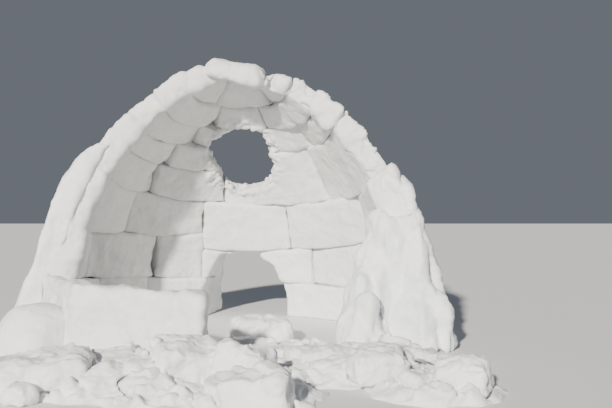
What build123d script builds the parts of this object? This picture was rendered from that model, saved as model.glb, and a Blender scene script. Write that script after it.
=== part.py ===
"""A snow-block igloo whose front half has fallen in.

The back half of the dome still stands, cut open from the ground to the crown. Flat snow slabs lean
on each other in rising courses, round a doorway at the back and a melted hole in the roof above it.
The first course still runs round the front left as a low wall, loose snow is banked against the
outside, and the blocks of the fallen front lie in a heap where they dropped.

Sizes are in millimetres. +X is to the right, +Y runs from the open front to the doorway, and +Z is
up. The model is laid out round the dome's upright axis and then moved, so that its origin is at
ground level, under the middle of the whole footprint.
"""

from build123d import *

import os
from math import cos, radians, sin, tan

# The dome's inside face is a pointed arch, turned about the upright axis
INNER_RADIUS = 1400
INNER_HEIGHT = 2320
ARCH_FULLNESS = 2.6
ARCH_POINT = 0.8

# The places in the tables below are those of a dome of this inner radius and height, and they
# spread and rise with it
TABLE_RADIUS = 1400
TABLE_HEIGHT = 2320

# The blocks get thinner towards the crown, and their edges are worn
FOOT_THICKNESS = 215
CROWN_THICKNESS = 130
EDGE_WEAR = 16

# Azimuths are in degrees from the doorway, and minus is the left side seen from the open front.
# The rims are where the standing half of the dome ends.
LEFT_RIM = -98
RIGHT_RIM = 98

# Bed joints: height on the dome's axis, the fall to the right and to the back in mm a metre, and
# how far the bed turns from level towards square with the wall
BEDS = {
    "first": (450, 50, 60, 1),
    "second_left": (925, 0, 63, 1),
    "second_right": (925, 0, 190, 1),
    "third": (1346, 33, 165, 1),
    "fourth_left": (1637, 0, 170, 1),
    "fourth_right": (1800, 0, 190, 1),
    "fifth_left": (1785, 0, 110, 1),
    "sixth": (1960, 0, 150, 1),
    "seventh": (2125, 0, 150, 1),
    "eighth": (2275, 0, 30, 0.15),
}

# Courses from the ground up: lower bed, upper bed and the head joints in order.
# A joint given as a pair is an open one: the first block ends before the second begins.
COURSES = {
    "low_front_wall": (None, "first", [-176, -138, LEFT_RIM]),
    "course_1_left": (None, "first", [LEFT_RIM, -70, -44, -12]),
    "course_1_right": (None, "first", [12, 56, RIGHT_RIM + 10]),
    "course_2_left": ("first", "second_left", [LEFT_RIM - 2, (-83, -80), -40.5, -20]),
    "door_haunch": ("first", "second_right", [-20, -6]),
    "course_2_right": ("first", "second_right", [5, 28, 68, RIGHT_RIM + 8]),
    "course_3_left": ("second_left", "third", [LEFT_RIM - 2, -58.5, -20]),
    "course_3_right": ("second_right", "third", [-20, 18.5, 65, RIGHT_RIM + 3]),
    "course_4_left": ("third", "fourth_left", [LEFT_RIM, -49, -11]),
    "course_4_right": ("third", "fourth_right", [-11, 40, RIGHT_RIM - 4]),
    "course_5_left": ("fourth_left", "fifth_left", [LEFT_RIM + 1, -45, -14]),
    "course_6_left": ("fifth_left", "sixth", [LEFT_RIM + 2, -33, -11]),
    "course_6_right": ("fourth_right", "sixth", [8, 45, RIGHT_RIM - 3]),
    "course_7": ("sixth", "seventh", [LEFT_RIM - 2, -22, 17, RIGHT_RIM - 8]),
    "course_8": ("seventh", "eighth", [LEFT_RIM - 2, -28, 38, RIGHT_RIM - 2]),
}

# Block laid over the last gap: length, width, thickness, place of its middle, and its tilt
CROWN_BLOCK = (500, 480, 130)
CROWN_PLACE = (-10, 110, 2312)
CROWN_TILT = (3, 11, 0)
CROWN_BEVEL = 50

# Doorway: outline on the inside face, from the left foot round to the right one, and the angle by
# which the passage swings to the right on its way out
DOOR_OUTLINE = [(-450, 0), (-446, 310), (-270, 660), (60, 655), (280, 530), (410, 175), (410, 0)]
DOOR_ROUNDING = 70
DOOR_SWING = 17

# Melted hole in the roof: outline seen along its own axis, which climbs on its way out
HOLE_OUTLINE = [
    (-350, 140), (-215, 255), (-40, 338), (115, 315), (198, 205), (268, 35),
    (262, -165), (120, -330), (-75, -380), (-240, -245), (-320, -50),
]
HOLE_HEIGHT = 1620
HOLE_CLIMB = 20

# Snow banked against the outside: azimuths, and radius and height down its outer face
SNOW_BANKS = {
    "snow_bank_left": (LEFT_RIM - 3, -57, [(1180, 1680), (1320, 1570), (1440, 1410), (1550, 1170),
                                           (1665, 840), (1800, 420), (1960, 120), (2010, 0)]),
    "snow_bank_back_left": (-57, -10, [(1280, 1280), (1480, 1120), (1640, 700), (1760, 330), (1900, 0)]),
}

# Icy stump at the right rim, where the first two courses have melted into flutes.
# Each flute: place, radius at the foot and at the head, height
STUMP_FLUTES = [
    ((1230, -270), 310, 120, 1060),
    ((1020, -480), 170, 80, 600),
    ((1060, -640), 180, 80, 430),
    ((1290, -690), 200, 90, 520),
    ((1510, -610), 220, 90, 600),
    ((1680, -400), 210, 80, 450),
]

# Lump of snow against the outside of the low wall: place of its centre and radius
WALL_LUMP = (-1430, -990, 120)
WALL_LUMP_RADIUS = 320

# Blocks of the fallen front: length, width, thickness, place of the centre, tilt, roll and turn
FALLEN_BLOCKS = {
    "fallen_slab_left": ((600, 430, 190), (-1080, -2030, 140), (5, -5, 8)),
    "fallen_block_wall_end": ((430, 380, 300), (-190, -1900, 150), (8, 6, 20)),
    "fallen_block_middle": ((340, 320, 300), (190, -2020, 140), (-8, 12, -15)),
    "fallen_block_inside": ((500, 340, 210), (210, -160, 95), (3, 4, 10)),
    "fallen_block_front": ((400, 320, 240), (310, -2430, 100), (6, -8, -12)),
    "fallen_block_right": ((380, 300, 190), (1060, -1840, 130), (9, 5, 14)),
    "fallen_slab_right": ((270, 300, 85), (1430, -1470, 130), (-6, 9, 22)),
    "fallen_block_far_right": ((340, 320, 230), (1570, -2090, 110), (4, -7, -18)),
    "fallen_lump_right": ((200, 180, 150), (1270, -2120, 70), (12, 9, 33)),
    "fallen_lump_left": ((240, 200, 150), (-430, -2190, 75), (10, -8, 40)),
    "fallen_lump_far_left": ((180, 150, 120), (-1120, -2330, 50), (7, 11, -25)),
}
FALLEN_WEAR = 34

# Heaps of crumbled snow round the fallen blocks, each made of low mounds: place, radius, height
HEAPS = {
    "snow_heap_left": [((-1200, -1720), 520, 190), ((-640, -1830), 560, 230), ((-330, -2080), 420, 120)],
    "snow_heap_middle": [((330, -780), 640, 80), ((330, -1500), 520, 90), ((250, -2150), 480, 120)],
    "snow_heap_right": [((760, -1480), 470, 170), ((1120, -1380), 560, 200), ((1420, -1950), 460, 130)],
}

# Reach of cutting tools, beyond anything in the model
FAR = 4000


def spread(length):
    """A level length from a table, for the dome's own radius."""
    return length * INNER_RADIUS / TABLE_RADIUS


def risen(height):
    """A height from a table, for the dome's own height."""
    return height * INNER_HEIGHT / TABLE_HEIGHT


def inner_radius(height):
    """Distance from the axis to the dome's inside face."""
    share = min(max(height, 0) / INNER_HEIGHT, 1)
    return INNER_RADIUS * (1 - share**ARCH_FULLNESS) ** ARCH_POINT


def wall_slope(height):
    """Rise of a line square to the inside face, for each step away from the axis."""
    return (inner_radius(height - 5) - inner_radius(height + 5)) / 10


def ray(azimuth):
    """Level unit vector that points away from the axis."""
    return Vector(sin(radians(azimuth)), cos(radians(azimuth)), 0)


def wall_thickness(height):
    """Thickness of the blocks at a height on the inside face."""
    return FOOT_THICKNESS + (CROWN_THICKNESS - FOOT_THICKNESS) * (height / INNER_HEIGHT) ** 2


def bed_cone(bed):
    """Radius and height of a bed on the axis' own terms, its slope, and its two falls.

    A bed is a cone, and the dome is wider where the bed is lower, so the cone would climb on its
    way to the back. The fall to the back takes that out again.
    """
    height, right, back, square = BEDS[bed]
    middle = risen(height)
    radius = inner_radius(middle)
    slope = wall_slope(middle) * square
    widening = 1 - radius / inner_radius(middle - back * radius / 1000)
    return radius, middle, slope, right / 1000, back / 1000 + slope * widening


def bed_height(bed, azimuth):
    """Height at which a bed meets the inside face, found by halving."""
    if bed is None:
        return 0
    radius, middle, slope, right, back = bed_cone(bed)
    low, high = 0, INNER_HEIGHT
    while high - low > 0.01:
        height = (low + high) / 2
        foot = ray(azimuth) * inner_radius(height)
        rise = slope * (inner_radius(height) - radius)
        if height < middle - right * foot.X - back * foot.Y + rise:
            low = height
        else:
            high = height
    return height


def below_bed(bed):
    """Everything under a bed, which is a tilted cone, or under the ground."""
    if bed is None:
        return Pos(0, 0, -FAR / 2) * Box(2 * FAR, 2 * FAR, FAR)
    radius, middle, slope, right, back = bed_cone(bed)
    outline = Polyline((0, -FAR), (FAR, -FAR), (FAR, (FAR - radius) * slope), (0, -radius * slope), close=True)
    cone = revolve(Plane.XZ * make_face(outline), Axis.Z)
    return Plane(origin=(0, 0, middle), z_dir=(right, back, 1)).location * cone


def wedge(first, last):
    """The upright slice of space between two azimuths."""
    left, right = ray(first) * FAR, ray(last) * FAR
    outline = Polyline((0, 0), (left.X, left.Y), (right.X, right.Y), close=True)
    return Pos(0, 0, -FAR / 2) * extrude(make_face(outline), 2 * FAR)


def leaning_plane(foot, head, azimuth):
    """The plane through a foot and a head, level along the wall, that faces away from the axis."""
    along = ray(azimuth + 90)
    return Plane(origin=(foot + head) / 2, x_dir=along, z_dir=(head - foot).cross(along))


def block_faces(lower, upper, first, last):
    """The flat inside and outside of a block, which cross the dome's curve halfway out."""
    middle = (first + last) / 2
    set_in = (1 + cos(radians(last - first) / 2)) / 2
    inside, outside = [], []
    for height in (bed_height(lower, middle), bed_height(upper, middle)):
        slope = wall_slope(height)
        square = (ray(middle) + Vector(0, 0, slope)).normalized()
        corner = ray(middle) * inner_radius(height) * set_in + Vector(0, 0, height)
        inside.append(corner)
        outside.append(corner + square * wall_thickness(height))
    return leaning_plane(*inside, middle), leaning_plane(*outside, middle)


def block(lower, upper, first, last):
    """One snow block: a flat slab, trimmed to its two beds and its two head joints."""
    inside, outside = block_faces(lower, upper, first, last)
    reach = 2 * INNER_RADIUS
    beyond = inside.location * Box(reach, reach, reach, align=(Align.CENTER, Align.CENTER, Align.MIN))
    before = outside.location * Box(reach, reach, reach, align=(Align.CENTER, Align.CENTER, Align.MAX))
    body = (beyond & before & wedge(first, last) & below_bed(upper)) - below_bed(lower)
    across = body.faces().sort_by(Axis(inside.origin, inside.z_dir))
    return chamfer(across[0].edges() + across[-1].edges(), EDGE_WEAR)


def course(lower, upper, joints):
    """The blocks of one course, in order."""
    ends = [joint if isinstance(joint, tuple) else (joint, joint) for joint in joints]
    return [block(lower, upper, a[1], b[0]) for a, b in zip(ends, ends[1:])]


def doorway():
    """The space of the crawl passage, which is cut out of the wall and the banks."""
    outline = make_face(Polyline(*DOOR_OUTLINE, close=True))
    upper = outline.vertices().filter_by_position(Axis.Y, 1, FAR)
    outline = Plane.XZ * fillet(upper, DOOR_ROUNDING)
    start = Pos(-tan(radians(DOOR_SWING)) * INNER_RADIUS, 0, 0) * outline
    return extrude(start, FAR, dir=(sin(radians(DOOR_SWING)), cos(radians(DOOR_SWING)), 0))


def roof_hole():
    """The space of the melted hole, which is cut out of the roof."""
    outline = make_face(Spline(*HOLE_OUTLINE, periodic=True))
    climb = radians(HOLE_CLIMB)
    height = risen(HOLE_HEIGHT)
    centre = (0, inner_radius(height), height)
    across = Plane(origin=centre, x_dir=(1, 0, 0), z_dir=(0, -cos(climb), -sin(climb)))
    return across.location * extrude(outline, INNER_RADIUS / 2, both=True)


def crown_block():
    """The flat block that closes the crown."""
    body = Box(*CROWN_BLOCK)
    rim = body.edges().group_by(Axis.Z)[-1] + body.edges().filter_by(Axis.Z)
    x, y, height = CROWN_PLACE
    return Pos(spread(x), spread(y), risen(height)) * Rot(*CROWN_TILT) * chamfer(rim, CROWN_BEVEL)


def wall_lump():
    """The lump of snow that leans on the low wall."""
    x, y, height = WALL_LUMP
    return above_ground(Pos(spread(x), spread(y), height) * Sphere(WALL_LUMP_RADIUS))


def snow_bank(first, last, outer_face):
    """Snow banked against the outside, from its outer face in to the middle of the wall."""
    outer_face = [(spread(radius), risen(height)) for radius, height in outer_face]
    heights = sorted({height for _, height in outer_face})
    half_wall = FOOT_THICKNESS / 2
    inner_face = [(inner_radius(height - half_wall) + half_wall, height) for height in heights]
    section = Plane.XZ * make_face(Polyline(*outer_face, *inner_face, close=True))
    return Rot(0, 0, 90 - last) * revolve(section, Axis.Z, last - first)


def stump():
    """The melted end of the first courses at the right rim."""
    flutes = [
        Pos(spread(x), spread(y), 0) * Cone(foot, head, height, align=(Align.CENTER, Align.CENTER, Align.MIN))
        for (x, y), foot, head, height in STUMP_FLUTES
    ]
    return flutes[0].fuse(*flutes[1:])


def above_ground(body):
    """What is left of a body when all that is under the ground is taken off."""
    return body - below_bed(None)


def fallen_block(size, place, turn):
    """A worn block that lies where it fell, bedded a little into the ground."""
    body = Box(*size)
    body = chamfer(body.edges(), min(FALLEN_WEAR, min(size) / 4))
    x, y, height = place
    return above_ground(Pos(spread(x), spread(y), height) * Rot(*turn) * body)


def mound(place, radius, height):
    """A low round mound, with the outline of a shallow arc."""
    shoulder = (radius * 0.55, height * 0.75)
    arc = ThreePointArc((0, height), shoulder, (radius, 0))
    section = make_face([arc, Polyline((radius, 0), (0, 0), (0, height))])
    x, y = place
    return Pos(spread(x), spread(y), 0) * revolve(Plane.XZ * section, Axis.Z)


def heap(mounds):
    """Crumbled snow: a few low mounds that run together."""
    bodies = [mound(*each) for each in mounds]
    return bodies[0].fuse(*bodies[1:])


def cut(body, cutters):
    """The main piece of a body when the cutters are taken out, without crumbs left in a joint."""
    reach = body.bounding_box()
    near = [cutter for cutter in cutters if cutter.bounding_box().overlaps(reach)]
    if near:
        body = body - near
    return max(body.solids(), key=lambda solid: solid.volume)


def igloo():
    """Every piece, laid out round the dome's axis. Each gives way to the pieces before it."""
    openings = [doorway(), roof_hole()]
    pieces = {}
    for name, row in COURSES.items():
        for number, body in enumerate(course(*row), 1):
            pieces[f"{name}_{number}"] = cut(body, openings)
    later = {"crown_block": crown_block()}
    later |= {name: snow_bank(*row) for name, row in SNOW_BANKS.items()}
    later["ice_stump"] = stump()
    later["snow_lump"] = wall_lump()
    later |= {name: fallen_block(*row) for name, row in FALLEN_BLOCKS.items()}
    later |= {name: heap(mounds) for name, mounds in HEAPS.items()}
    passage = doorway()
    for name, body in later.items():
        pieces[name] = cut(body, [*pieces.values(), passage])
    return pieces


pieces = igloo()
box = Compound(list(pieces.values())).bounding_box()
to_origin = Pos(-box.center().X, -box.center().Y, 0)

os.makedirs("parts", exist_ok=True)
for name, body in pieces.items():
    export_step(to_origin * body, f"parts/{name}.step")
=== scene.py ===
"""Looks of a snow-block igloo whose front half has fallen in.

Every piece of packed or loose snow is a soft copy of its CAD piece: remeshed, rounded as thaw
rounds it, swelled a little into its joints and waved by hand and wind. Sizes are in metres.
"""

import math

import bmesh
import bpy
import numpy as np
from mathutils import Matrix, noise


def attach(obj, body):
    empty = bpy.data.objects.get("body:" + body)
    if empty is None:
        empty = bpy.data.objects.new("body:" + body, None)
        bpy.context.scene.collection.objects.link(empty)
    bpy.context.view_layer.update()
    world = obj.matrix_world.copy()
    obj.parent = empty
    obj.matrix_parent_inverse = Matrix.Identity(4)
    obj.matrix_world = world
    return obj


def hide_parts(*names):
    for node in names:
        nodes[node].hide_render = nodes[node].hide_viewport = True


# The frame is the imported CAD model, fixed at its real size. The dome's upright axis stands a little
# behind and to the right of the middle of the footprint, and FOOT is where it meets the ground.
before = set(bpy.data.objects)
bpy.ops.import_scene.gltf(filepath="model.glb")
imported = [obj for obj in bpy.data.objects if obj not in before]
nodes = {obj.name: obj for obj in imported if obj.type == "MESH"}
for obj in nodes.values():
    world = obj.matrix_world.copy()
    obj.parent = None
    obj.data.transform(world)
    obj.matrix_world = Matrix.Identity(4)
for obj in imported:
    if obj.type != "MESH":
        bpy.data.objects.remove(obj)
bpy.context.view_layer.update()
FOOT = np.array([0.065, 0.380, 0])
ROOM_MIDDLE = FOOT + [0, 0, 1.0]


# The standing wall is built of slabs sawn from wind-packed snow, laid in rising courses. Thaw and
# sun have rounded their edges and half closed the joints, and frost has bonded them together.
WALL_VOXEL = 0.015
WALL_ROUNDING = 4
WALL_SWELL = 0.0035
WALL_WAVES = [(0.6, 0.009, 10), (0.22, 0.005, 10), (0.08, 0.0022, 10)]


def lumps(points, length, seed):
    """A smooth random height for each point, with hills about one length apart."""
    offset = np.random.default_rng(seed).uniform(-50, 50, 3)
    return np.array([2 * noise.noise(point) for point in points * (2 / length) + offset])


def rough(points, waves, number=0):
    """The sum of several sizes of lumps, each given by its length, its height and its seed.

    Pieces with different numbers get different lumps of the same sizes.
    """
    return sum(height * lumps(points, length, seed + number) for length, height, seed in waves)


def ramp(values, low, high):
    """Nought below low, one above high, and a smooth rise between them."""
    share = np.clip((values - low) / (high - low), 0, 1)
    return share * share * (3 - 2 * share)


def coordinates(mesh):
    """The places and the normals of a mesh's vertices."""
    places = np.empty(len(mesh.vertices) * 3)
    normals = np.empty(len(mesh.vertices) * 3)
    mesh.vertices.foreach_get("co", places)
    mesh.vertex_normals.foreach_get("vector", normals)
    return places.reshape(-1, 3), normals.reshape(-1, 3)


def facing(normals, out):
    """How squarely each normal points along its own way out: one along it, minus one against it."""
    return (normals * out).sum(axis=1) / np.linalg.norm(out, axis=1)


def soften(mesh, voxel, rounding):
    """A remeshed and rounded form of a mesh."""
    source = bpy.data.objects.new("source", mesh)
    bpy.context.scene.collection.objects.link(source)
    remesh = source.modifiers.new("remesh", "REMESH")
    remesh.mode = "VOXEL"
    remesh.voxel_size = voxel
    smooth = source.modifiers.new("smooth", "SMOOTH")
    smooth.factor = 0.5
    smooth.iterations = rounding
    graph = bpy.context.evaluated_depsgraph_get()
    result = bpy.data.meshes.new_from_object(source.evaluated_get(graph))
    bpy.data.objects.remove(source)
    return result


def soft_copy(name, voxel, rounding):
    """A remeshed and rounded copy of a CAD piece."""
    return soften(nodes[name].data.copy(), voxel, rounding)


def move(mesh, places):
    """Writes new places to a mesh, none of them under the ground."""
    places[:, 2] = np.maximum(places[:, 2], 0)
    mesh.vertices.foreach_set("co", places.ravel())
    mesh.update()


def place(mesh, name, material, replaced):
    """Sets a finished mesh in the scene, in the place of the CAD pieces that it shows."""
    mesh.materials.clear()
    mesh.materials.append(material)
    mesh.polygons.foreach_set("use_smooth", [True] * len(mesh.polygons))
    piece = bpy.data.objects.new(name, mesh)
    bpy.context.scene.collection.objects.link(piece)
    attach(piece, "root")
    if replaced:
        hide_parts(*replaced)


class Shade:
    """A shader socket that takes part in sums like a number."""

    def __init__(self, tree, socket):
        self.tree = tree
        self.socket = socket

    def node(self, kind, settings=None, output=0, **inputs):
        """Adds a node of a kind, with its settings, and with inputs by name or as _ and a number."""
        node = self.tree.nodes.new(kind)
        for key, value in (settings or {}).items():
            setattr(node, key, value)
        for key, value in inputs.items():
            socket = node.inputs[int(key[1:])] if key[0] == "_" else node.inputs[key.replace("_", " ")]
            if isinstance(value, Shade):
                self.tree.links.new(value.socket, socket)
            else:
                socket.default_value = value
        return Shade(self.tree, node.outputs[output])

    def math(self, operation, left, right):
        return self.node("ShaderNodeMath", {"operation": operation}, _0=left, _1=right)

    def __add__(self, other):
        return self.math("ADD", self, other)

    def __radd__(self, other):
        return self.math("ADD", other, self)

    def __mul__(self, other):
        return self.math("MULTIPLY", self, other)

    def __rmul__(self, other):
        return self.math("MULTIPLY", other, self)


def cloud(base, scale, detail, roughness, distortion=0.0):
    """A noise texture over the places that a socket gives."""
    return base.node("ShaderNodeTexNoise", Vector=base, Scale=scale, Detail=detail,
                     Roughness=roughness, Distortion=distortion)


def snow_material(name, bright, dull, grain, roughness, glow):
    """Snow: two close tints in soft clouds, a fine grain, and light that passes under the skin."""
    material = bpy.data.materials.new(name)
    material.use_nodes = True
    tree = material.node_tree
    surface = tree.nodes["Principled BSDF"]
    surface.inputs["Subsurface Weight"].default_value = glow
    surface.inputs["Subsurface Radius"].default_value = (0.6, 0.75, 1.0)
    surface.inputs["Subsurface Scale"].default_value = 0.03
    surface.inputs["IOR"].default_value = 1.31
    base = Shade(tree, tree.nodes.new("ShaderNodeTexCoord").outputs["Object"])
    clouds = cloud(base, 2.6, detail=5.0, roughness=0.6)
    patches = cloud(base, 9.0, detail=6.0, roughness=0.62, distortion=0.6)
    crust = cloud(base, 34.0, detail=5.0, roughness=0.68)
    grains = cloud(base, 190.0, detail=3.0, roughness=0.7)
    mottle = clouds * 0.35 + patches * 0.45 + crust * 0.2
    share = base.node("ShaderNodeMapRange", Value=mottle, From_Min=0.38, From_Max=0.58)
    tint = base.node("ShaderNodeMix", {"data_type": "RGBA"}, output=2,
                     _0=share, _6=(*dull, 1), _7=(*bright, 1))
    tree.links.new(tint.socket, surface.inputs["Base Color"])
    rough_skin = roughness + 0.12 * crust
    tree.links.new(rough_skin.socket, surface.inputs["Roughness"])
    relief = patches * 0.5 + crust * 0.3 + grains * 0.2
    bump = base.node("ShaderNodeBump", Strength=grain, Distance=0.03, Height=relief)
    tree.links.new(bump.socket, surface.inputs["Normal"])
    return material


packed_snow = snow_material("packed snow", bright=(0.83, 0.83, 0.81), dull=(0.72, 0.73, 0.73),
                            grain=0.30, roughness=0.62, glow=0.18)

# Beside the crown the roof has a cleft where a corner of a block is gone, and the next corner to the
# right has dropped a little. Places are counted from the foot of the axis.
CLEFT_X = 0.268
CLEFT_WIDTH = 0.050
CLEFT_DEPTH = 0.085
CLEFT_HEIGHT = (2.0, 2.2)
CLEFT_BACK = (0.25, 0.6)
CORNER_X = 0.37
CORNER_WIDTH = 0.09
CORNER_DROP = 0.034
CORNER_HEIGHT = (2.1, 2.25)
FACING_UP = (0.0, 0.6)
FACING_FRONT = (0.2, 0.8)


def cleft(places, normals):
    """The places with the cleft pressed into the top and the front of the roof."""
    x, y, z = (places - FOOT).T
    share = np.exp(-((x - CLEFT_X) / CLEFT_WIDTH) ** 2) * ramp(z, *CLEFT_HEIGHT)
    share *= 1 - ramp(y, *CLEFT_BACK)
    corner = np.exp(-((x - CORNER_X) / CORNER_WIDTH) ** 2) * ramp(z, *CORNER_HEIGHT)
    upward = ramp(normals[:, 2], *FACING_UP)
    carved = places.copy()
    carved[:, 2] -= CLEFT_DEPTH * share * upward
    carved[:, 2] -= CORNER_DROP * corner * upward * (1 - share)
    carved[:, 1] += CLEFT_DEPTH * share * ramp(-normals[:, 1], *FACING_FRONT)
    return carved


# The hole in the roof climbs with the wall, and its edge is ragged
HOLE_MIDDLE = (-0.04, 0.95, 1.60)
HOLE_SIZE = (0.30, 0.34)
HOLE_CLIMB = 20
HOLE_REACH = (1.1, 1.45)
HOLE_BACK = (0.2, 0.5)
HOLE_WAVES = [(0.15, 0.018, 40), (0.065, 0.011, 41)]


def beside_hole(places):
    """One at the edge of the hole in the roof, and nought from about half its radius beyond it."""
    out = places - FOOT
    x, y, z = (out - HOLE_MIDDLE).T
    lean = math.radians(HOLE_CLIMB)
    up = z * math.cos(lean) - y * math.sin(lean)
    ring = np.hypot(x / HOLE_SIZE[0], up / HOLE_SIZE[1])
    return (1 - ramp(ring, *HOLE_REACH)) * ramp(out[:, 1], *HOLE_BACK)


# Courses and blocks stand a little proud of each other inside, and some joints have thawed open:
# each of these spots on the inner wall has a place from the foot of the axis, a reach and a depth
COURSE_STEPS = {"course_3_right": 0.026, "course_2_right": 0.010, "course_3_left": 0.012,
                "course_5": 0.010, "course_6_left": -0.006, "course_7": 0.008}
BLOCK_STEP = 0.009
STEP_SEED = 500
FACING_ROOM = (0.3, 0.8)
OPEN_JOINTS = [
    ((-0.86, 0.70, 1.43), 0.075, 0.032), ((-0.76, 0.69, 1.56), 0.055, 0.022),
    ((-0.27, 0.67, 1.92), 0.060, 0.030), ((-0.46, 0.72, 1.74), 0.060, 0.028),
    ((0.07, 0.49, 2.05), 0.045, 0.026), ((0.51, 0.38, 1.89), 0.055, 0.026),
    ((0.62, 0.15, 1.91), 0.060, 0.026), ((0.64, 0.57, 1.75), 0.045, 0.024),
    ((-0.43, 1.22, 1.04), 0.060, 0.024), ((-0.43, 1.24, 0.94), 0.050, 0.018),
    ((0.38, 1.22, 1.04), 0.060, 0.024), ((0.39, 1.25, 0.94), 0.060, 0.020),
    ((-0.91, 1.04, 0.71), 0.070, 0.022), ((-0.92, 1.08, 0.57), 0.080, 0.030),
    ((-1.31, 0.28, 0.84), 0.080, 0.030), ((-1.31, 0.34, 0.68), 0.080, 0.032),
    ((-1.04, 0.69, 1.09), 0.070, 0.026), ((-1.28, 0.53, 0.41), 0.050, 0.020),
]
wall_nodes = [name for name in nodes if name.startswith(("course_", "door_haunch"))]
for number, name in enumerate(sorted(wall_nodes)):
    mesh = soft_copy(name, WALL_VOXEL, WALL_ROUNDING)
    places, normals = coordinates(mesh)
    step = BLOCK_STEP * np.random.default_rng(STEP_SEED + number).uniform(-1, 1)
    step += sum(depth for start, depth in COURSE_STEPS.items() if name.startswith(start))
    shift = WALL_SWELL + step * ramp(-facing(normals, places - ROOM_MIDDLE), *FACING_ROOM)
    shift += beside_hole(places) * rough(places, HOLE_WAVES)
    for spot, reach, depth in OPEN_JOINTS:
        away = np.linalg.norm(places - FOOT - spot, axis=1)
        shift -= depth * np.exp(-(away / reach) ** 2)
    shift += rough(places, WALL_WAVES, number)
    move(mesh, cleft(places + normals * shift[:, None], normals))
    place(mesh, name + "_snow", packed_snow, [name])


# The crown is closed by one block laid flat over the last gap. It has slumped to the right, and its
# front edge hangs out over the room as a soft lip.
CROWN_VOXEL = 0.014
CROWN_ROUNDING = 10
CROWN_SWELL = 0.010
CROWN_WAVES = [(0.3, 0.012, 61), (0.1, 0.005, 62)]
mesh = soft_copy("crown_block", CROWN_VOXEL, CROWN_ROUNDING)
places, normals = coordinates(mesh)
shift = CROWN_SWELL + rough(places, CROWN_WAVES)
move(mesh, places + normals * shift[:, None])
place(mesh, "crown_block_snow", packed_snow, ["crown_block"])


# The low front wall is what is left of the first course there: two blocks melted into one, with a
# soft crest and a rounded end.
LOW_NODES = ["low_front_wall_1", "low_front_wall_2"]
LOW_VOXEL = 0.016
LOW_ROUNDING = 16
LOW_SWELL = 0.014
LOW_WAVES = [(0.45, 0.016, 70), (0.2, 0.010, 71), (0.09, 0.005, 72)]
CREST_HEIGHT = (0.3, 0.42)
CREST_WAVES = [(0.3, 0.014, 73)]
LEVEL = [1, 1, 0]


def joined(meshes):
    """Several meshes as one."""
    whole = bmesh.new()
    for mesh in meshes:
        whole.from_mesh(mesh)
    result = bpy.data.meshes.new("joined")
    whole.to_mesh(result)
    whole.free()
    return result


mesh = soften(joined(nodes[name].data for name in LOW_NODES), LOW_VOXEL, LOW_ROUNDING)
places, normals = coordinates(mesh)
places = places + normals * (LOW_SWELL + rough(places, LOW_WAVES))[:, None]
places[:, 2] += ramp(places[:, 2], *CREST_HEIGHT) * rough(places * LEVEL, CREST_WAVES)
move(mesh, places)
place(mesh, "low_front_wall_1_snow", packed_snow, LOW_NODES)


# Along the broken edge the ends of the blocks have thawed together under a crust of wet snow, which
# laps a hand's breadth over their inner and outer faces. It is frozen to them, and is thicker on the
# outside at the right.
RIM_LEAN = 0.139
CROWN_HALF = 0.2
CRUST_LAP = 0.20
CRUST_START = 0.12
CRUST_VOXEL = 0.017
CRUST_ROUNDING = 9
CRUST_SWELL = 0.028
SWELL_END = (0.03, 0.12)
CRUST_SINK = 0.05
SINK_START = (0.06, 0.15)
WELD = 1e-5
LAP_WAVES = [(0.22, 0.030, 50), (0.07, 0.012, 51)]
RIM_REACH = (0.05, 0.14)
RIM_WAVES = [(0.4, 0.014, 52), (0.14, 0.006, 53)]
CRUST_GRAIN = [(0.045, 0.0025, 54)]
RIGHT_THICKNESS = 0.045
RIGHT_SIDE = (0.45, 0.75)
FACING_OUT = (0.0, 0.6)


def behind_rim(places):
    """How far behind the broken edge a place lies."""
    out = (places - FOOT)[:, :2]
    return out[:, 1] + RIM_LEAN * np.linalg.norm(out, axis=1)


def front_slice(name, depth):
    """The part of a CAD block that lies within a depth of the broken edge, closed behind."""
    build = bmesh.new()
    build.from_mesh(nodes[name].data)
    bmesh.ops.remove_doubles(build, verts=build.verts, dist=WELD)
    middle = np.mean([vertex.co.x for vertex in build.verts]) - FOOT[0]
    side = 0 if abs(middle) < CROWN_HALF else math.copysign(RIM_LEAN, middle)
    normal = np.array([side, math.sqrt(1 - side * side), 0])
    everything = build.verts[:] + build.edges[:] + build.faces[:]
    bmesh.ops.bisect_plane(build, geom=everything, plane_co=FOOT + normal * depth, plane_no=normal,
                           clear_outer=True)
    bmesh.ops.holes_fill(build, edges=[edge for edge in build.edges if edge.is_boundary])
    mesh = bpy.data.meshes.new("slice")
    build.to_mesh(mesh)
    build.free()
    return mesh


rim_nodes = [name for name in sorted(nodes) if name.startswith(("course_", "crown_block"))
             and behind_rim(coordinates(nodes[name].data)[0]).min() < CRUST_START]
slices = [front_slice(name, CRUST_LAP) for name in rim_nodes]
mesh = soften(joined(slices), CRUST_VOXEL, CRUST_ROUNDING)
places, normals = coordinates(mesh)
back = behind_rim(places)
at_rim = 1 - ramp(back, *RIM_REACH)
ragged = back + rough(places, LAP_WAVES)
shift = CRUST_SWELL * (1 - ramp(ragged, *SWELL_END)) - CRUST_SINK * ramp(ragged, *SINK_START)
shift += at_rim * rough(places, RIM_WAVES) + rough(places, CRUST_GRAIN)
out = places - ROOM_MIDDLE
at_right = ramp(facing(normals, out), *FACING_OUT) * ramp(out[:, 0], *RIGHT_SIDE)
shift += RIGHT_THICKNESS * at_right * at_rim
move(mesh, cleft(places + normals * shift[:, None], normals))
place(mesh, "rim_crust", packed_snow, [])


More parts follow.
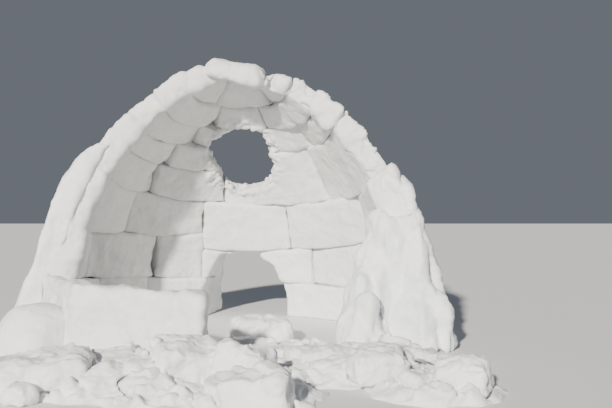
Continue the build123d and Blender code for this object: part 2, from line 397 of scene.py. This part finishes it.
# Loose snow is banked against the foot of the wall outside and has settled into a smooth slope with
# soft folds down it. A lump of it leans on the low wall.
BANK_VOXEL = 0.020
BANK_ROUNDING = 16
BANK_SWELL = 0.002
BANK_WAVES = [(0.7, 0.022, 80), (0.24, 0.006, 81), (0.08, 0.003, 82)]
FOLD_WAVES = [(0.6, 0.022, 83)]
FOLD_STRETCH = [1, 1, 0.4]
loose_snow = snow_material("loose snow", bright=(0.92, 0.92, 0.915), dull=(0.77, 0.79, 0.815),
                           grain=0.50, roughness=0.68, glow=0.2)
for bank_nodes in (["snow_bank_left", "snow_lump"], ["snow_bank_back_left"]):
    mesh = soften(joined(nodes[name].data for name in bank_nodes), BANK_VOXEL, BANK_ROUNDING)
    places, normals = coordinates(mesh)
    folds = np.abs(rough(places * FOLD_STRETCH, FOLD_WAVES))
    shift = BANK_SWELL + folds + rough(places, BANK_WAVES)
    move(mesh, places + normals * shift[:, None])
    place(mesh, bank_nodes[0] + "_snow", loose_snow, bank_nodes)


# The ends of the first courses at the right rim have thawed and frozen again to one icy mass, with
# flutes down its face. It runs on round the outside of the wall as a drift that hides the joints,
# and spreads at its foot.
DRIFT_NODES = ["course_1_right_2", "course_2_right_3", "course_3_right_3"]
COVER_VOXEL = 0.02
COVER_ROUNDING = 4
DRIFT_VOXEL = 0.019
DRIFT_ROUNDING = 22
DRIFT_DEPTH = 0.085
DRIFT_HOLD_BACK = 0.05
DRIFT_FACING = (-0.2, 0.5)
DRIFT_TOP = (1.2, 1.75)
DRIFT_END = (0.55, 0.95)
FRONT_DEPTH = (0.02, 0.10)
FRONT_TOP = (0.85, 1.15)
FOOT_FLARE = 0.085
FLARE_TOP = 0.7
MELT_SWELL = 0.002
FLUTE_WAVES = [(0.42, 0.050, 95)]
FLUTE_STRETCH = [1, 1, 0.18]
RUNNEL_WAVES = [(0.26, 0.020, 91), (0.12, 0.014, 92)]
RUNNEL_STRETCH = [1, 1, 0.16]
MELT_WAVES = [(0.40, 0.024, 93), (0.07, 0.006, 94)]
melt_ice = snow_material("melt ice", bright=(0.91, 0.915, 0.915), dull=(0.74, 0.78, 0.83),
                         grain=0.34, roughness=0.40, glow=0.3)


def drift_cover(name):
    """A wall block swelled where the drift covers it, and drawn in where the drift leaves it bare."""
    mesh = soft_copy(name, COVER_VOXEL, COVER_ROUNDING)
    places, normals = coordinates(mesh)
    height = places[:, 2]
    back = behind_rim(places)
    outward = facing(normals[:, :2], (places - FOOT)[:, :2])
    outside = ramp(outward, *DRIFT_FACING) * (1 - ramp(height, *DRIFT_TOP))
    in_front = (1 - ramp(back, *FRONT_DEPTH)) * (1 - ramp(height, *FRONT_TOP))
    cover = np.maximum(outside, in_front) * (1 - ramp(back, *DRIFT_END))
    flare = FOOT_FLARE * (1 - ramp(height, 0, FLARE_TOP))
    shift = cover * (DRIFT_DEPTH + DRIFT_HOLD_BACK + flare) - DRIFT_HOLD_BACK
    move(mesh, places + normals * shift[:, None])
    return mesh


stump = soft_copy("ice_stump", COVER_VOXEL, COVER_ROUNDING)
covers = [drift_cover(name) for name in DRIFT_NODES]
mesh = soften(joined([stump, *covers]), DRIFT_VOXEL, DRIFT_ROUNDING)
places, normals = coordinates(mesh)
shift = MELT_SWELL + np.abs(rough(places * FLUTE_STRETCH, FLUTE_WAVES))
shift += rough(places * RUNNEL_STRETCH, RUNNEL_WAVES) + rough(places, MELT_WAVES)
move(mesh, places + normals * shift[:, None])
place(mesh, "ice_stump_snow", melt_ice, ["ice_stump"])


# The blocks of the front lie where they fell, sawn snow like the wall's, broken across and rounded
# by thaw. Their upper faces have cracked into tilted pieces.
FALLEN_VOXEL = 0.012
FALLEN_ROUNDING = 7
FALLEN_WAVES = [(0.3, 0.014, 120), (0.13, 0.008, 150), (0.055, 0.0035, 180)]
FALLEN_WARP = [(0.3, 0.05, 320)]
FALLEN_PIECE = 0.30
FALLEN_GROOVE = 0.012
FALLEN_RELIEF = 0.6
FALLEN_SEED = 300
FACING_SKY = (0.2, 0.7)
SCATTER = 0.42
TILT = 0.09
RISE = (-0.06, 0.10)
GROOVE_SHARE = 0.16
fallen_snow = snow_material("fallen snow", bright=(0.92, 0.92, 0.91), dull=(0.77, 0.79, 0.81),
                            grain=0.50, roughness=0.66, glow=0.18)


def warped(points, waves, number):
    """The points pushed to and fro, so that cracks drawn on them wander."""
    return points + rough(points, waves, number)[:, None] * [1, 0.6, 0]


def broken(points, size, seed, groove):
    """Heights of a surface cracked into tilted pieces about one size across, with grooves between."""
    rng = np.random.default_rng(seed)
    low, high = points.min(axis=0) - size, points.max(axis=0) + size
    steps = [np.arange(low[i], high[i] + size, size) for i in range(2)]
    grid = np.stack(np.meshgrid(*steps), axis=-1).reshape(-1, 2)
    grid = grid + rng.uniform(-SCATTER, SCATTER, grid.shape) * size
    away = np.linalg.norm(points[:, None, :2] - grid[None], axis=2)
    order = np.argsort(away, axis=1)[:, :2]
    rows = np.arange(len(points))
    nearest, second = away[rows, order[:, 0]], away[rows, order[:, 1]]
    tilt = rng.normal(0, TILT, grid.shape)[order[:, 0]]
    rise = rng.uniform(*RISE, len(grid))[order[:, 0]] * size
    rise += (tilt * (points[:, :2] - grid[order[:, 0]])).sum(axis=1)
    edge = ramp(second - nearest, 0, GROOVE_SHARE * size)
    return rise * edge - groove * (1 - edge)


for number, name in enumerate(sorted(name for name in nodes if name.startswith("fallen_"))):
    mesh = soft_copy(name, FALLEN_VOXEL, FALLEN_ROUNDING)
    places, normals = coordinates(mesh)
    pieces = broken(warped(places, FALLEN_WARP, number), FALLEN_PIECE, FALLEN_SEED + number,
                    FALLEN_GROOVE)
    upper = ramp(normals[:, 2], *FACING_SKY)
    shift = rough(places, FALLEN_WAVES, number) + FALLEN_RELIEF * upper * pieces
    move(mesh, places + normals * shift[:, None])
    place(mesh, name + "_snow", fallen_snow, [name])


# Between and under them the snow has broken into small soft slabs that have frozen together, with a
# few crumbs from walnut to fist size on top. The heaps thin out to nothing on the ground.
HEAP_VOXEL = 0.014
HEAP_ROUNDING = 8
HEAP_SWELL = [(0.5, 0.016, 210)]
HEAP_WAVES = [(0.14, 0.006, 211), (0.055, 0.004, 231)]
HEAP_WARP = [(0.3, 0.07, 250)]
SLAB_SIZE = 0.34
SLAB_GROOVE = 0.020
SLAB_SEED = 260
SHARD_SIZE = 0.15
SHARD_GROOVE = 0.010
SHARD_SEED = 270
SHARD_RELIEF = 0.5
THIN_HEIGHT = (0, 0.05)
OUTLINE_WAVES = [[(0.35, 0.05, 240)], [(0.35, 0.05, 241)]]
CRUMBS = 22
CRUMB_RADIUS = (0.016, 0.05)
CRUMB_WAVES = [(1.6, 0.2, 0)]
CRUMB_STRETCH = (0.6, 1.3)
CRUMB_SINK = 0.1
CRUMB_FACING = 0.5
CRUMB_GROUND = 0.02
CRUMB_SEED = 7
rng = np.random.default_rng(CRUMB_SEED)


def add_crumbs(mesh, count):
    """Rounded lumps, most of them small, half sunk in the upper surface of a heap."""
    places, normals = coordinates(mesh)
    upper = np.flatnonzero((normals[:, 2] > CRUMB_FACING) & (places[:, 2] > CRUMB_GROUND))
    ball = bpy.data.meshes.new("crumb")
    build = bmesh.new()
    bmesh.ops.create_icosphere(build, subdivisions=3, radius=1)
    build.to_mesh(ball)
    build.free()
    round_places, _ = coordinates(ball)
    whole = bmesh.new()
    whole.from_mesh(mesh)
    for spot in rng.choice(upper, count):
        size = CRUMB_RADIUS[0] + (CRUMB_RADIUS[1] - CRUMB_RADIUS[0]) * rng.random() ** 3
        bumps = rough(round_places, CRUMB_WAVES, int(rng.integers(9999)))
        shape = round_places * (1 + bumps)[:, None] * size * rng.uniform(*CRUMB_STRETCH, 3)
        shape += places[spot] - [0, 0, size * CRUMB_SINK]
        ball.vertices.foreach_set("co", shape.ravel())
        ball.update()
        whole.from_mesh(ball)
    whole.to_mesh(mesh)
    whole.free()


for number, name in enumerate(sorted(name for name in nodes if name.startswith("snow_heap"))):
    mesh = soft_copy(name, HEAP_VOXEL, HEAP_ROUNDING)
    places, normals = coordinates(mesh)
    cracked = warped(places, HEAP_WARP, number)
    shift = rough(places, HEAP_SWELL) + rough(places, HEAP_WAVES, number)
    shift += broken(cracked, SLAB_SIZE, SLAB_SEED + number, SLAB_GROOVE)
    shift += SHARD_RELIEF * broken(cracked, SHARD_SIZE, SHARD_SEED + number, SHARD_GROOVE)
    fade = ramp(places[:, 2], *THIN_HEIGHT)
    places = places + normals * (shift * fade)[:, None]
    for axis, waves in enumerate(OUTLINE_WAVES):
        places[:, axis] += rough(places * LEVEL, waves) * (1 - fade)
    move(mesh, places)
    add_crumbs(mesh, CRUMBS)
    # What a crumb has under the ground is pressed level with it
    move(mesh, coordinates(mesh)[0])
    place(mesh, name + "_snow", loose_snow, [name])


# The stage: a plain pale floor, a low sun from the left of the front, and an even sky. None of it
# belongs to the igloo.
FLOOR_HALF = 30
FLOOR_COLOUR = (0.74, 0.75, 0.77, 1)
SUN_HEIGHT = 22
SUN_AZIMUTH = -18
SUN_BLUR = 2.5
SUN_ENERGY = 7.9
SUN_COLOUR = (1.0, 0.95, 0.86)
SKY_COLOUR = (0.60, 0.66, 0.75, 1)
SKY_STRENGTH = 0.24
corners = [(-FLOOR_HALF, -FLOOR_HALF, 0), (FLOOR_HALF, -FLOOR_HALF, 0),
           (FLOOR_HALF, FLOOR_HALF, 0), (-FLOOR_HALF, FLOOR_HALF, 0)]
floor_mesh = bpy.data.meshes.new("floor")
floor_mesh.from_pydata(corners, [], [(0, 1, 2, 3)])
floor_paint = bpy.data.materials.new("floor")
floor_paint.use_nodes = True
paint = floor_paint.node_tree.nodes["Principled BSDF"]
paint.inputs["Base Color"].default_value = FLOOR_COLOUR
paint.inputs["Roughness"].default_value = 0.9
floor_mesh.materials.append(floor_paint)
floor = bpy.data.objects.new("floor", floor_mesh)
bpy.context.scene.collection.objects.link(floor)

sun_data = bpy.data.lights.new("sun", "SUN")
sun_data.energy = SUN_ENERGY
sun_data.angle = math.radians(SUN_BLUR)
sun_data.color = SUN_COLOUR
sun = bpy.data.objects.new("sun", sun_data)
sun.rotation_euler = (math.radians(90 - SUN_HEIGHT), 0, math.radians(SUN_AZIMUTH))
bpy.context.scene.collection.objects.link(sun)

world = bpy.data.worlds.new("sky")
world.use_nodes = True
sky = world.node_tree.nodes["Background"]
sky.inputs["Color"].default_value = SKY_COLOUR
sky.inputs["Strength"].default_value = SKY_STRENGTH
bpy.context.scene.world = world

# The camera looks almost level at the open front, from a little right of the dome's axis
EYE = FOOT + [0.59, -7.38, 1.25]
EYE_PITCH = -0.607
SENSOR_WIDTH = 36
LENS = 50
camera_data = bpy.data.cameras.new("camera")
camera_data.sensor_width = SENSOR_WIDTH
camera_data.lens = LENS
camera = bpy.data.objects.new("camera", camera_data)
camera.location = EYE
camera.rotation_euler = (math.radians(90 + EYE_PITCH), 0, 0)
bpy.context.scene.collection.objects.link(camera)
bpy.context.scene.camera = camera
